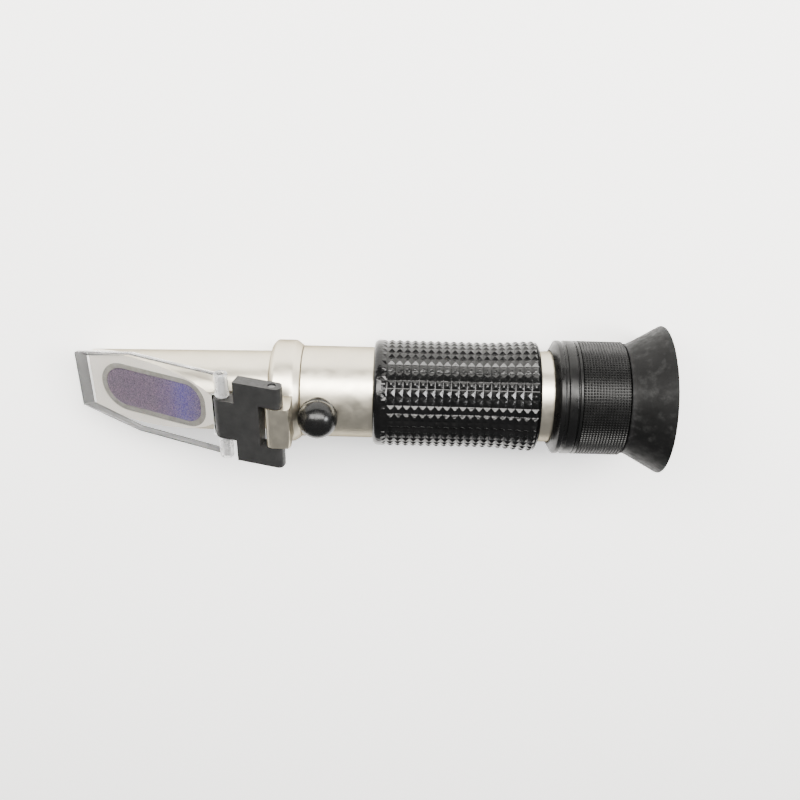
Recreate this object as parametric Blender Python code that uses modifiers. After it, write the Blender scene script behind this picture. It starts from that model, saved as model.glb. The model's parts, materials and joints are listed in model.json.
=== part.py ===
"""Handheld optical refractometer, modelled piece by piece.

The row frame: X runs along the optical axis towards the eyepiece, Z points away from the sloped
sample face, and Z = 0 is the lowest line of the eyecup. All sizes below are millimetres. A "station"
is an X position, a "height" is a Z distance above the optical axis.
"""

import math

import bmesh
import bpy
from mathutils import Matrix, Vector

MM = 0.001
OUTER_SEGMENTS = 40
INNER_SEGMENTS = 24
PIN_SEGMENTS = 16
GAP = 0.3  # between neighbours that touch on the real object
WELD = 1e-6  # metres

# Overall
EYECUP_R = 20.0  # the widest piece, so the optical axis stands this high
AXIS_Z = EYECUP_R
EYECUP_RIM = 79.05

# Prism housing: a turned nose, cut by the sloped sample face
NOSE_TIP = -74.8
NOSE_TIP_R = 9.9
NOSE_ROOT = -25.4
NOSE_ROOT_R = 10.6
NOSE_EDGE = 0.8
SPIGOT_END = -18.9
SPIGOT_R = 10.0
NOSE_BORE_R = 7.5
NOSE_BORE_FRONT = -44.0
SLOPE = math.radians(21.8)
SLOPE_STATION = -61.05  # a point on the sample face
SLOPE_HEIGHT = 0.83

# Sample window: a long outline with one round end and one end with round corners
WINDOW_FRONT = -71.7
WINDOW_REAR = -41.4
WINDOW_HALF = 7.25
WINDOW_CORNER = 6.1
SEAL_WIDTH = 1.5
SEAL_DEPTH = 1.2
SEAL_GAP = 0.2
PRISM_FLOOR = -6.3
PRISM_EXIT = -40.2
PRISM_REACH = 14.0  # how deep the prism's column would run before its floor cuts it off

# Hinge collar with its lug
COLLAR_FRONT = -25.2
COLLAR_REAR = -17.0
COLLAR_R = 13.7
COLLAR_LAND = (-24.0, -19.0)
COLLAR_BORE_R = 10.3
COLLAR_BOSS_R = 10.7
COLLAR_BOSS_END = -15.6
COLLAR_BOSS_BORE_R = 9.6
LUG_FOOT = COLLAR_R - 1.5  # sunk into the collar
LUG_HALF = 5.8
LUG_TOP = 19.5
LUG_FLANK = -18.7
LUG_NOSE_R = 2.1

# Cover hinge pins, across the axis
REAR_PIN = (-23.0, 17.4)  # station, height
FRONT_PIN = (-36.5, 13.2)
PIN_R = 1.0
PIN_HOLE_R = 1.15
REAR_PIN_HALF = 11.6
FRONT_PIN_HALF = 12.2

# Cover link
LINK_HALF = 11.9
LINK_TILT = math.atan2(3.3, 11.8)  # forward and down, as the two pins lie in the photograph
LINK_THICK = 3.65
LINK_FACE_ABOVE_REAR_PIN = 1.83
LINK_BODY_FRONT = 10.0  # from the rear pin, along the link
LINK_TAIL = 2.5
LINK_TAIL_CORNER = 1.4
LINK_SLOT_HALF = 6.1
LINK_SLOT_FLOOR = 3.3
LINK_TAB_HALF = 5.7
LINK_TAB_NOSE_R = 2.3

# Daylight plate
PLATE_TIP = -79.1
PLATE_BEND = -62.2
PLATE_TIP_HALF = 8.4
PLATE_HALF = 12.1
PLATE_THICK = 3.0
PLATE_LIFT = 0.2  # the sample film between the plate and the prism
PLATE_NOTCH_HALF = 6.0
PLATE_NOTCH = 2.6  # from the front pin
PLATE_BEVEL = 0.35
BARREL_R = 1.8
BARREL_HALF = (6.0, 12.6)

# Body tube, grip and calibration port
TUBE_R = 12.25
TUBE_BORE_R = 11.0
TUBE_FRONT = -16.7
TUBE_REAR = 56.0
GRIP_FRONT = 1.9
GRIP_REAR = 45.7
GRIP_BORE_R = TUBE_R + GAP
GRIP_FRONT_R = 14.35
GRIP_WAIST = 36.0
GRIP_WAIST_R = 14.25
GRIP_REAR_R = 14.9
GRIP_EDGE = 1.4
PORT = -12.2
BUSH_R = 3.0
BUSH_BORE_R = 1.7
BUSH_FLOOR = 9.8
BUSH_TOP = 13.6
SCREW_R = 1.4
SCREW_FLOOR = 8.3
SCREW_TOP = 13.2
SCREW_SLOT = 0.5
CAP_R = 5.2
CAP_CENTRE = 13.8
CAP_FLANGE_R = 5.0
CAP_FLOOR = 10.6
CAP_SOCKET_R = 3.4
CAP_SOCKET_TOP = 14.2

# Inner optics
CARRIAGE = (-15.2, -9.2)
CARRIAGE_R = 8.0
OBJECTIVE_R = 6.2
CELL_BORE_R = 6.5
STRIP = (-36.5, -15.5)
STRIP_HALF = 2.3
STRIP_TOP = -4.6
STRIP_THICK = 0.7
BLOCK = (-36.5, -29.0)
BLOCK_FLOOR = -6.9
STRIP_SCREWS = (-34.6, -31.0)
SPRING_R = 1.7
SPRING_WIRE_R = 0.22
SPRING_TURNS = 3
SPRING_FLOOR = -10.4
SPRING_TOP = -8.6
STOP = (8.0, 9.2)
HOLDER = (36.5, 44.5)
INSERT_R = TUBE_BORE_R - GAP
RETICLE_R = 8.0
O_RING = 52.5
O_RING_R = 12.05
O_RING_WIRE_R = 0.35
O_RING_GROOVE_HALF = 0.6
O_RING_GROOVE_DEPTH = 0.75
KEY = 54.5
KEY_R = 0.7
KEY_SLOT_HALF = 2.6
OCULAR = (49.5, 65.5)
OCULAR_BORE_R = 8.9
LENS_R = 8.6

# Focusing ring, sleeve and eyecup
RING_FRONT = 49.0
RING_R = 15.3
RING_BORE_R = 12.55
RING_STEP = 58.0
RING_SHOULDER = 55.8
RING_SEAT_R = 14.2
RING_REAR = 67.2
RING_MOUTH_R = 8.4
RING_BOSS_R = 13.0
RING_END = 70.3
RING_BAND = 0.35  # depth of the two grooves in the smooth band
SLEEVE = (56.1, 68.2)
EYECUP_FRONT = 68.5
EYECUP_NECK_R = 14.9
EYECUP_NECK = 69.4
EYECUP_MOUTH_R = 18.7
EYECUP_BORE_R = RING_BOSS_R + GAP

MATERIALS = {
    "satin_aluminium": ((0.66, 0.64, 0.60), 0.35, 1.0),
    "black_plastic": ((0.03, 0.03, 0.03), 0.50, 0.0),
    "black_rubber": ((0.02, 0.02, 0.02), 0.60, 0.0),
    "clear_acrylic": ((0.92, 0.94, 0.94), 0.05, 0.0),
    "prism_glass": ((0.30, 0.22, 0.42), 0.10, 0.0),
    "lens_glass": ((0.80, 0.88, 0.90), 0.02, 0.0),
    "grey_seal": ((0.42, 0.40, 0.37), 0.60, 0.0),
    "pin_steel": ((0.60, 0.60, 0.62), 0.25, 1.0),
    "turned_brass": ((0.70, 0.52, 0.22), 0.35, 1.0),
    "matte_black": ((0.02, 0.02, 0.02), 0.90, 0.0),
}


def clear_scene():
    for obj in list(bpy.data.objects):
        bpy.data.objects.remove(obj, do_unlink=True)


def new_collection(name):
    collection = bpy.data.collections.new(name)
    bpy.context.scene.collection.children.link(collection)
    return collection


def material(name):
    """The named material, made on first use."""
    if name in bpy.data.materials:
        return bpy.data.materials[name]
    colour, roughness, metallic = MATERIALS[name]
    made = bpy.data.materials.new(name)
    made.use_nodes = True
    shader = made.node_tree.nodes["Principled BSDF"]
    shader.inputs["Base Color"].default_value = (*colour, 1.0)
    shader.inputs["Roughness"].default_value = roughness
    shader.inputs["Metallic"].default_value = metallic
    return made


def add_object(name, mesh, finish=None):
    """A mesh object in the refractometer's collection, or a cutter when it has no finish."""
    obj = bpy.data.objects.new(name, mesh)
    if finish:
        mesh.materials.append(material(finish))
        PIECES.objects.link(obj)
    else:
        CUTTERS.objects.link(obj)
        obj.hide_render = True
        obj.display_type = "WIRE"
    return obj


def place(obj, station, height, y=0.0):
    obj.location = (station * MM, y * MM, (AXIS_Z + height) * MM)


def lay_along_x(obj):
    """Turns an object built round its own Z so that its Z lies along the optical axis."""
    obj.rotation_euler = (0.0, math.pi / 2, 0.0)


def boolean(obj, other, operation="DIFFERENCE"):
    modifier = obj.modifiers.new(other.name, "BOOLEAN")
    modifier.operation = operation
    modifier.object = other


def bevel(obj, width, angle=40.0, segments=2):
    modifier = obj.modifiers.new("edges", "BEVEL")
    modifier.width = width * MM
    modifier.segments = segments
    modifier.limit_method = "ANGLE"
    modifier.angle_limit = math.radians(angle)


def turned(name, outline, finish=None, segments=OUTER_SEGMENTS, upright=False):
    """A turned piece. The outline holds (station, radius) pairs that run down the outer side, from the
    highest station, and back up the inner side. It closes on itself unless both its ends are on the axis.
    An upright piece is turned round a vertical line, and its stations are heights."""
    closed = outline[0][1] > 0.0
    mesh = bpy.data.meshes.new(name)
    points = [(radius * MM, 0.0, along * MM) for along, radius in outline]
    edges = [(i, i + 1) for i in range(len(points) - 1)]
    if closed:
        edges.append((len(points) - 1, 0))
    mesh.from_pydata(points, edges, [])
    obj = add_object(name, mesh, finish)
    screw = obj.modifiers.new("turn", "SCREW")
    screw.steps = screw.render_steps = segments
    screw.use_merge_vertices = True
    screw.merge_threshold = WELD
    obj.location = (0.0, 0.0, AXIS_Z * MM)
    if not upright:
        lay_along_x(obj)
    return obj


def disc(front, rear, radius):
    """The outline of a plain turned disc."""
    return [(rear, 0.0), (rear, radius), (front, radius), (front, 0.0)]


def ring(front, rear, outer, inner):
    """The outline of a plain turned ring."""
    return [(rear, outer), (front, outer), (front, inner), (rear, inner)]


def lens(front, rear, radius, bulge, steps=4):
    """The outline of a lens whose two faces bulge by the same amount beyond its edge."""
    face = [(bulge * (1 - (i / steps) ** 2), radius * i / steps) for i in range(steps)]
    rear_face = [(rear + out, r) for out, r in face]
    front_face = [(front - out, r) for out, r in reversed(face)]
    return rear_face + [(rear, radius), (front, radius)] + front_face


def cylinder(name, radius, depth, finish=None, segments=PIN_SEGMENTS):
    mesh = bpy.data.meshes.new(name)
    shape = bmesh.new()
    bmesh.ops.create_cone(
        shape,
        cap_ends=True,
        segments=segments,
        radius1=radius * MM,
        radius2=radius * MM,
        depth=depth * MM,
    )
    shape.to_mesh(mesh)
    shape.free()
    return add_object(name, mesh, finish)


def cross_pin(name, pin, radius, half, finish=None):
    """A cylinder across the instrument, centred on a hinge pin's (station, height)."""
    obj = cylinder(name, radius, 2 * half, finish)
    obj.rotation_euler = (math.pi / 2, 0.0, 0.0)
    place(obj, *pin)
    return obj


def box(name, low, high, finish=None):
    """A box between two (station, y, height) corners."""
    mesh = bpy.data.meshes.new(name)
    shape = bmesh.new()
    bmesh.ops.create_cube(shape, size=1.0)
    size = Vector(high) - Vector(low)
    bmesh.ops.scale(shape, vec=size * MM, verts=shape.verts)
    shape.to_mesh(mesh)
    shape.free()
    obj = add_object(name, mesh, finish)
    station, y, height = (Vector(high) + Vector(low)) / 2
    place(obj, station, height, y)
    return obj


def slab(name, outline, low, high, finish=None):
    """A flat outline of (x, y) points, extruded between two levels of the object's own Z."""
    curve = bpy.data.curves.new(name, "CURVE")
    curve.dimensions = "2D"
    curve.fill_mode = "BOTH"
    curve.extrude = (high - low) / 2 * MM
    spline = curve.splines.new("POLY")
    spline.points.add(len(outline) - 1)
    for point, (x, y) in zip(spline.points, outline):
        point.co = (x * MM, y * MM, 0.0, 1.0)
    spline.use_cyclic_u = True
    flat = bpy.data.objects.new(name + "_outline", curve)
    CUTTERS.objects.link(flat)
    bpy.context.view_layer.update()
    graph = bpy.context.evaluated_depsgraph_get()
    mesh = bpy.data.meshes.new_from_object(flat.evaluated_get(graph))
    bpy.data.objects.remove(flat)
    shape = bmesh.new()
    shape.from_mesh(mesh)
    bmesh.ops.remove_doubles(shape, verts=shape.verts, dist=WELD)
    bmesh.ops.translate(shape, vec=(0.0, 0.0, (low + high) / 2 * MM), verts=shape.verts)
    bmesh.ops.dissolve_limit(
        shape, angle_limit=math.radians(1.0), verts=shape.verts, edges=shape.edges
    )
    bmesh.ops.recalc_face_normals(shape, faces=shape.faces)
    shape.to_mesh(mesh)
    shape.free()
    mesh.materials.clear()
    return add_object(name, mesh, finish)


def arc(centre, radius, start, end, steps):
    """Points on an arc, by angles in degrees."""
    angles = [math.radians(start + (end - start) * i / steps) for i in range(steps + 1)]
    return [
        (centre[0] + radius * math.cos(a), centre[1] + radius * math.sin(a)) for a in angles
    ]


def rectangle(left, bottom, right, top):
    return [(left, bottom), (right, bottom), (right, top), (left, top)]


def lay_on_slope(obj):
    """Puts an object's own XY plane on the sample face, with its X up the slope."""
    turn = Matrix.Rotation(-SLOPE, 4, "Y")
    centre = (SLOPE_STATION * MM, 0.0, (AXIS_Z + SLOPE_HEIGHT) * MM)
    obj.matrix_world = Matrix.Translation(centre) @ turn


def along_slope(station):
    """The distance up the slope of the sample-face point at this station."""
    return (station - SLOPE_STATION) / math.cos(SLOPE)


def stand_on_edge(obj, tilt):
    """Turns an object's own XY outline into the vertical plane through the axis, about the rear pin,
    with its X pointing forward along the cover and its Y up, tilted down by the given angle."""
    upright = Matrix(((-1, 0, 0, 0), (0, 0, 1, 0), (0, 1, 0, 0), (0, 0, 0, 1)))
    turn = Matrix.Rotation(-tilt, 4, "Y")
    centre = (REAR_PIN[0] * MM, 0.0, (AXIS_Z + REAR_PIN[1]) * MM)
    obj.matrix_world = Matrix.Translation(centre) @ turn @ upright


def window_outline(inset):
    """The sample window's outline, in slope coordinates, shrunk by the inset."""
    half = WINDOW_HALF - inset
    front = along_slope(WINDOW_FRONT) + WINDOW_HALF
    rear = along_slope(WINDOW_REAR) - inset
    corner = WINDOW_CORNER - inset
    flat = half - corner
    outline = arc((front, 0.0), half, 90.0, 270.0, 12)
    outline += arc((rear - corner, -flat), corner, 270.0, 360.0, 6)
    outline += arc((rear - corner, flat), corner, 0.0, 90.0, 6)
    return outline


def make_prism_housing():
    housing = turned(
        "prism_housing",
        [
            (SPIGOT_END, SPIGOT_R),
            (NOSE_ROOT, SPIGOT_R),
            (NOSE_ROOT, NOSE_ROOT_R),
            (NOSE_TIP + NOSE_EDGE, NOSE_TIP_R),
            (NOSE_TIP + NOSE_EDGE / 3, NOSE_TIP_R - NOSE_EDGE / 3),
            (NOSE_TIP, NOSE_TIP_R - NOSE_EDGE),
            (NOSE_TIP, 0.0),
            (NOSE_BORE_FRONT, 0.0),
            (NOSE_BORE_FRONT, NOSE_BORE_R),
            (SPIGOT_END, NOSE_BORE_R),
        ],
        "satin_aluminium",
    )
    above = box("above_slope", (-60.0, -15.0, 0.0), (60.0, 15.0, 30.0))
    above.data.transform(Matrix.Translation((0.0, 0.0, 15.0 * MM)))
    lay_on_slope(above)
    boolean(housing, above)
    seal_pocket = slab("seal_pocket", window_outline(-SEAL_GAP), -SEAL_DEPTH - SEAL_GAP, 1.0)
    lay_on_slope(seal_pocket)
    boolean(housing, seal_pocket)
    prism_pocket = slab("prism_pocket", window_outline(SEAL_WIDTH), -PRISM_REACH, 1.0)
    lay_on_slope(prism_pocket)
    room = box("prism_pocket_room", (-78.0, -9.0, PRISM_FLOOR - SEAL_GAP), (-38.0, 9.0, 20.0))
    boolean(prism_pocket, room, "INTERSECT")
    boolean(housing, prism_pocket)


def make_prism():
    prism = slab("prism", window_outline(SEAL_WIDTH + SEAL_GAP), -PRISM_REACH, 0.0, "prism_glass")
    lay_on_slope(prism)
    block = box("prism_block", (-78.0, -9.0, PRISM_FLOOR), (PRISM_EXIT, 9.0, 20.0))
    boolean(prism, block, "INTERSECT")
    seal = slab("prism_seal", window_outline(0.0), -SEAL_DEPTH, 0.0, "grey_seal")
    lay_on_slope(seal)
    hole = slab("seal_hole", window_outline(SEAL_WIDTH), -SEAL_DEPTH - 1.0, 1.0)
    lay_on_slope(hole)
    boolean(seal, hole)


def make_hinge_collar():
    collar = turned(
        "hinge_collar",
        [
            (COLLAR_BOSS_END, COLLAR_BOSS_R),
            (COLLAR_REAR, COLLAR_BOSS_R),
            (COLLAR_REAR, TUBE_R),
            (COLLAR_LAND[1], COLLAR_R),
            (COLLAR_LAND[0], COLLAR_R),
            (COLLAR_FRONT, COLLAR_R - 1.4),
            (COLLAR_FRONT, COLLAR_BORE_R),
            (SPIGOT_END + GAP, COLLAR_BORE_R),
            (SPIGOT_END + GAP, COLLAR_BOSS_BORE_R),
            (COLLAR_BOSS_END, COLLAR_BOSS_BORE_R),
        ],
        "satin_aluminium",
    )
    foot = LUG_FOOT - REAR_PIN[1]
    top = LUG_TOP - REAR_PIN[1]
    side_view = [(LUG_NOSE_R - 1.0, foot), (-6.0, foot), (-6.0, top), (0.0, top)]
    side_view += arc((0.0, 0.0), LUG_NOSE_R, 85.0, -45.0, 8)
    lug = slab("lug", side_view, -LUG_HALF, LUG_HALF)
    stand_on_edge(lug, 0.0)
    flank = turned(
        "lug_flank",
        [
            (LUG_FLANK, 0.0),
            (LUG_FLANK, LUG_TOP - 0.5),
            (LUG_FLANK - 0.25, LUG_TOP + 0.2),
            (LUG_FLANK - 0.9, LUG_TOP + 1.2),
            (REAR_PIN[0] - 4.0, LUG_TOP + 1.2),
            (REAR_PIN[0] - 4.0, 0.0),
        ],
    )
    boolean(lug, flank, "INTERSECT")
    boolean(collar, lug, "UNION")
    hole = cross_pin("lug_pin_hole", REAR_PIN, PIN_HOLE_R, LUG_HALF + 3.0)
    boolean(collar, hole)


def make_cover_link():
    """The black link between the two hinge pins, drawn from the side and then slotted."""
    span = Vector((REAR_PIN[0] - FRONT_PIN[0], REAR_PIN[1] - FRONT_PIN[1]))
    direction = Vector((math.cos(LINK_TILT), math.sin(LINK_TILT)))
    reach = span.dot(direction)
    rise = span.x * direction.y - span.y * direction.x  # how far the front pin lies above the link line
    top = LINK_FACE_ABOVE_REAR_PIN
    floor = top - LINK_THICK
    corner = LINK_TAIL_CORNER
    tail = LINK_TAIL - corner
    outline = [(-tail, top), (LINK_BODY_FRONT, top)]
    outline += arc((reach, rise), LINK_TAB_NOSE_R, 90.0, -90.0, 8)
    outline += [(LINK_BODY_FRONT, floor), (-tail, floor)]
    outline += arc((-tail, floor + corner), corner, 270.0, 180.0, 3)[1:]
    outline += arc((-tail, top - corner), corner, 180.0, 90.0, 3)[:-1]
    link = slab("cover_link", outline, -LINK_HALF, LINK_HALF, "black_plastic")
    stand_on_edge(link, LINK_TILT)
    slot = rectangle(-6.0, floor - 3.0, LINK_SLOT_FLOOR, top + 3.0)
    slot = slab("link_slot", slot, -LINK_SLOT_HALF, LINK_SLOT_HALF)
    stand_on_edge(slot, LINK_TILT)
    boolean(link, slot)
    beyond = rectangle(LINK_BODY_FRONT, floor - 4.0, LINK_BODY_FRONT + 12.0, top + 4.0)
    for side, name in ((1.0, "link_left_notch"), (-1.0, "link_right_notch")):
        inner, outer = sorted((side * LINK_TAB_HALF, side * 2 * LINK_HALF))
        notch = slab(name, beyond, inner, outer)
        stand_on_edge(notch, LINK_TILT)
        boolean(link, notch)
    boolean(link, cross_pin("link_rear_hole", REAR_PIN, PIN_HOLE_R, 2 * LINK_HALF))
    boolean(link, cross_pin("link_front_hole", FRONT_PIN, PIN_HOLE_R, 2 * LINK_HALF))
    cross_pin("rear_hinge_pin", REAR_PIN, PIN_R, REAR_PIN_HALF, "pin_steel")
    cross_pin("front_hinge_pin", FRONT_PIN, PIN_R, FRONT_PIN_HALF, "pin_steel")


def make_daylight_plate():
    tip = along_slope(PLATE_TIP) + PLATE_THICK * math.tan(SLOPE)
    bend = along_slope(PLATE_BEND) + PLATE_THICK * math.tan(SLOPE)
    pin_along = (FRONT_PIN[0] - SLOPE_STATION) * math.cos(SLOPE)
    pin_along += (FRONT_PIN[1] - SLOPE_HEIGHT) * math.sin(SLOPE)
    notch = pin_along - PLATE_NOTCH
    outline = [
        (pin_along, PLATE_HALF),
        (bend, PLATE_HALF),
        (tip, PLATE_TIP_HALF),
        (tip, -PLATE_TIP_HALF),
        (bend, -PLATE_HALF),
        (pin_along, -PLATE_HALF),
        (pin_along, -PLATE_NOTCH_HALF),
        (notch, -PLATE_NOTCH_HALF),
        (notch, PLATE_NOTCH_HALF),
        (pin_along, PLATE_NOTCH_HALF),
    ]
    plate = slab(
        "daylight_plate", outline, PLATE_LIFT, PLATE_LIFT + PLATE_THICK, "clear_acrylic"
    )
    bevel(plate, PLATE_BEVEL, segments=1)
    lay_on_slope(plate)
    middle = (BARREL_HALF[0] + BARREL_HALF[1]) / 2
    half = (BARREL_HALF[1] - BARREL_HALF[0]) / 2
    for side, name in ((1.0, "plate_left_barrel"), (-1.0, "plate_right_barrel")):
        barrel = cross_pin(name, FRONT_PIN, BARREL_R, half)
        barrel.location.y = side * middle * MM
        boolean(plate, barrel, "UNION")
    boolean(plate, cross_pin("plate_pin_hole", FRONT_PIN, PIN_HOLE_R, 2 * PLATE_HALF))


def make_body_tube():
    groove = (O_RING - O_RING_GROOVE_HALF, O_RING + O_RING_GROOVE_HALF)
    groove_r = TUBE_R - O_RING_GROOVE_DEPTH
    tube = turned(
        "body_tube",
        [
            (TUBE_REAR, TUBE_R),
            (groove[1], TUBE_R),
            (groove[1], groove_r),
            (groove[0], groove_r),
            (groove[0], TUBE_R),
            (TUBE_FRONT, TUBE_R),
            (TUBE_FRONT, TUBE_BORE_R),
            (TUBE_REAR, TUBE_BORE_R),
        ],
        "satin_aluminium",
    )
    port = cylinder("port_hole", BUSH_R + GAP, 6.0, segments=INNER_SEGMENTS)
    place(port, PORT, TUBE_R)
    boolean(tube, port)
    key_hole = cylinder("key_hole", KEY_R + GAP, 6.0, segments=12)
    place(key_hole, KEY, TUBE_R)
    boolean(tube, key_hole)
    turned(
        "focus_o_ring",
        [
            (O_RING + r, O_RING_R + q)
            for q, r in arc((0.0, 0.0), O_RING_WIRE_R, 90.0, -225.0, 7)
        ],
        "black_rubber",
    )


def make_rubber_grip():
    turned(
        "rubber_grip",
        [
            (GRIP_REAR, GRIP_REAR_R - GRIP_EDGE),
            (GRIP_REAR - GRIP_EDGE / 3, GRIP_REAR_R - GRIP_EDGE / 3),
            (GRIP_REAR - GRIP_EDGE, GRIP_REAR_R),
            (GRIP_REAR - 3.5, GRIP_REAR_R - 0.15),
            (GRIP_WAIST, GRIP_WAIST_R),
            (GRIP_FRONT + GRIP_EDGE, GRIP_FRONT_R),
            (GRIP_FRONT + GRIP_EDGE / 3, GRIP_FRONT_R - GRIP_EDGE / 3),
            (GRIP_FRONT, GRIP_FRONT_R - GRIP_EDGE),
            (GRIP_FRONT, GRIP_BORE_R),
            (GRIP_REAR, GRIP_BORE_R),
        ],
        "black_rubber",
    )


def make_calibration_port():
    bush = turned(
        "screw_bush",
        ring(BUSH_FLOOR, BUSH_TOP, BUSH_R, BUSH_BORE_R),
        "turned_brass",
        INNER_SEGMENTS,
        upright=True,
    )
    screw = turned(
        "calibration_screw",
        disc(SCREW_FLOOR, SCREW_TOP, SCREW_R),
        "turned_brass",
        INNER_SEGMENTS,
        upright=True,
    )
    slot = box(
        "screw_slot",
        (PORT - SCREW_SLOT / 2, -3.0, SCREW_TOP - 0.8),
        (PORT + SCREW_SLOT / 2, 3.0, SCREW_TOP + 1.0),
    )
    boolean(screw, slot)
    dome = [(CAP_CENTRE + y, x) for x, y in arc((0.0, 0.0), CAP_R, 90.0, -10.0, 8)]
    dome[0] = (CAP_CENTRE + CAP_R, 0.0)
    cap = turned(
        "calibration_cap",
        dome
        + [
            (12.5, CAP_FLANGE_R - 0.3),
            (12.3, CAP_FLANGE_R),
            (CAP_FLOOR, CAP_FLANGE_R),
            (CAP_FLOOR, CAP_SOCKET_R),
            (CAP_SOCKET_TOP, CAP_SOCKET_R),
            (CAP_SOCKET_TOP, 0.0),
        ],
        "black_rubber",
        INNER_SEGMENTS,
        upright=True,
    )
    saddle = turned("cap_saddle", disc(-30.0, 10.0, TUBE_R + GAP))
    boolean(cap, saddle)
    for obj in (bush, screw, cap):
        obj.location.x = PORT * MM


def make_lens_carriage():
    front, rear = CARRIAGE
    turned(
        "lens_carriage",
        [
            (rear, CARRIAGE_R),
            (front, CARRIAGE_R),
            (front, CELL_BORE_R),
            (rear - 0.8, CELL_BORE_R),
            (rear - 0.8, CELL_BORE_R - 0.9),
            (rear, CELL_BORE_R - 0.9),
        ],
        "turned_brass",
        INNER_SEGMENTS,
    )
    turned(
        "objective_lens",
        lens(rear - 3.0, rear - 1.7, OBJECTIVE_R, 0.6),
        "lens_glass",
        INNER_SEGMENTS,
    )
    turned(
        "objective_ring",
        ring(front + 0.6, front + 1.8, OBJECTIVE_R, OBJECTIVE_R - 1.0),
        "matte_black",
        INNER_SEGMENTS,
    )


def make_carriage_spring():
    """The coil spring that holds the carriage up against the calibration screw."""
    rise = SPRING_TOP - SPRING_FLOOR
    steps = 12 * SPRING_TURNS
    curve = bpy.data.curves.new("carriage_spring", "CURVE")
    curve.dimensions = "3D"
    curve.bevel_depth = SPRING_WIRE_R * MM
    curve.bevel_resolution = 1
    curve.use_fill_caps = True
    spline = curve.splines.new("POLY")
    spline.points.add(steps)
    for i, point in enumerate(spline.points):
        angle = 2 * math.pi * i / 12
        x, y = SPRING_R * math.cos(angle), SPRING_R * math.sin(angle)
        point.co = (x * MM, y * MM, rise * i / steps * MM, 1.0)
    spring = bpy.data.objects.new("carriage_spring", curve)
    curve.materials.append(material("pin_steel"))
    PIECES.objects.link(spring)
    place(spring, PORT, SPRING_FLOOR)


def make_bimetal_strip():
    floor = STRIP_TOP - STRIP_THICK
    box(
        "strip_block",
        (BLOCK[0], -STRIP_HALF + 0.2, BLOCK_FLOOR),
        (BLOCK[1], STRIP_HALF - 0.2, floor - 0.2),
        "turned_brass",
    )
    strip = box(
        "bimetal_strip",
        (STRIP[0], -STRIP_HALF, floor),
        (STRIP[1], STRIP_HALF, STRIP_TOP),
        "pin_steel",
    )
    block = bpy.data.objects["strip_block"]
    for number, station in enumerate(STRIP_SCREWS, start=1):
        hole = cylinder(f"strip_screw_hole_{number}", 0.8, 3.2, segments=12)
        place(hole, station, STRIP_TOP)
        boolean(strip, hole)
        boolean(block, hole)
        screw = turned(
            f"strip_screw_{number}",
            [
                (STRIP_TOP + 0.9, 0.0),
                (STRIP_TOP + 0.9, 1.2),
                (STRIP_TOP + 0.2, 1.2),
                (STRIP_TOP + 0.2, 0.6),
                (STRIP_TOP - 1.4, 0.6),
                (STRIP_TOP - 1.4, 0.0),
            ],
            "pin_steel",
            12,
            upright=True,
        )
        screw.location.x = station * MM


def make_reticle():
    turned("field_stop", ring(*STOP, INSERT_R, 5.0), "matte_black", INNER_SEGMENTS)
    front, rear = HOLDER
    turned(
        "reticle_holder",
        [
            (rear, INSERT_R),
            (front, INSERT_R),
            (front, RETICLE_R - 1.0),
            (front + 1.2, RETICLE_R - 1.0),
            (front + 1.2, RETICLE_R + GAP),
            (rear, RETICLE_R + GAP),
        ],
        "matte_black",
        INNER_SEGMENTS,
    )
    turned("reticle", disc(front + 1.5, front + 3.0, RETICLE_R), "lens_glass", INNER_SEGMENTS)
    turned(
        "reticle_ring",
        ring(front + 3.3, front + 5.3, RETICLE_R, RETICLE_R - 1.2),
        "turned_brass",
        INNER_SEGMENTS,
    )


def make_ocular():
    front, rear = OCULAR
    cell = turned(
        "ocular_cell",
        [
            (rear, INSERT_R),
            (front, INSERT_R),
            (front, OCULAR_BORE_R - 1.2),
            (front + 1.2, OCULAR_BORE_R - 1.2),
            (front + 1.2, OCULAR_BORE_R),
            (rear, OCULAR_BORE_R),
        ],
        "matte_black",
        INNER_SEGMENTS,
    )
    slot = box(
        "cell_key_slot",
        (KEY - KEY_SLOT_HALF, -KEY_R - GAP, INSERT_R - 0.9),
        (KEY + KEY_SLOT_HALF, KEY_R + GAP, INSERT_R + 2.0),
    )
    boolean(cell, slot)
    key = cylinder("focus_key", KEY_R, 1.9, "pin_steel", 12)
    place(key, KEY, TUBE_BORE_R + 0.05)
    for name, outline, finish in (
        ("field_lens", lens(front + 2.1, front + 3.1, LENS_R, 0.5), "lens_glass"),
        ("lens_spacer", ring(front + 3.7, front + 11.0, LENS_R, LENS_R - 1.0), "matte_black"),
        ("eye_lens", lens(front + 11.9, front + 12.9, LENS_R, 0.6), "lens_glass"),
        ("eye_lens_ring", ring(front + 13.5, front + 15.2, LENS_R, LENS_R - 1.2), "matte_black"),
    ):
        turned(name, outline, finish, INNER_SEGMENTS)


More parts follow.
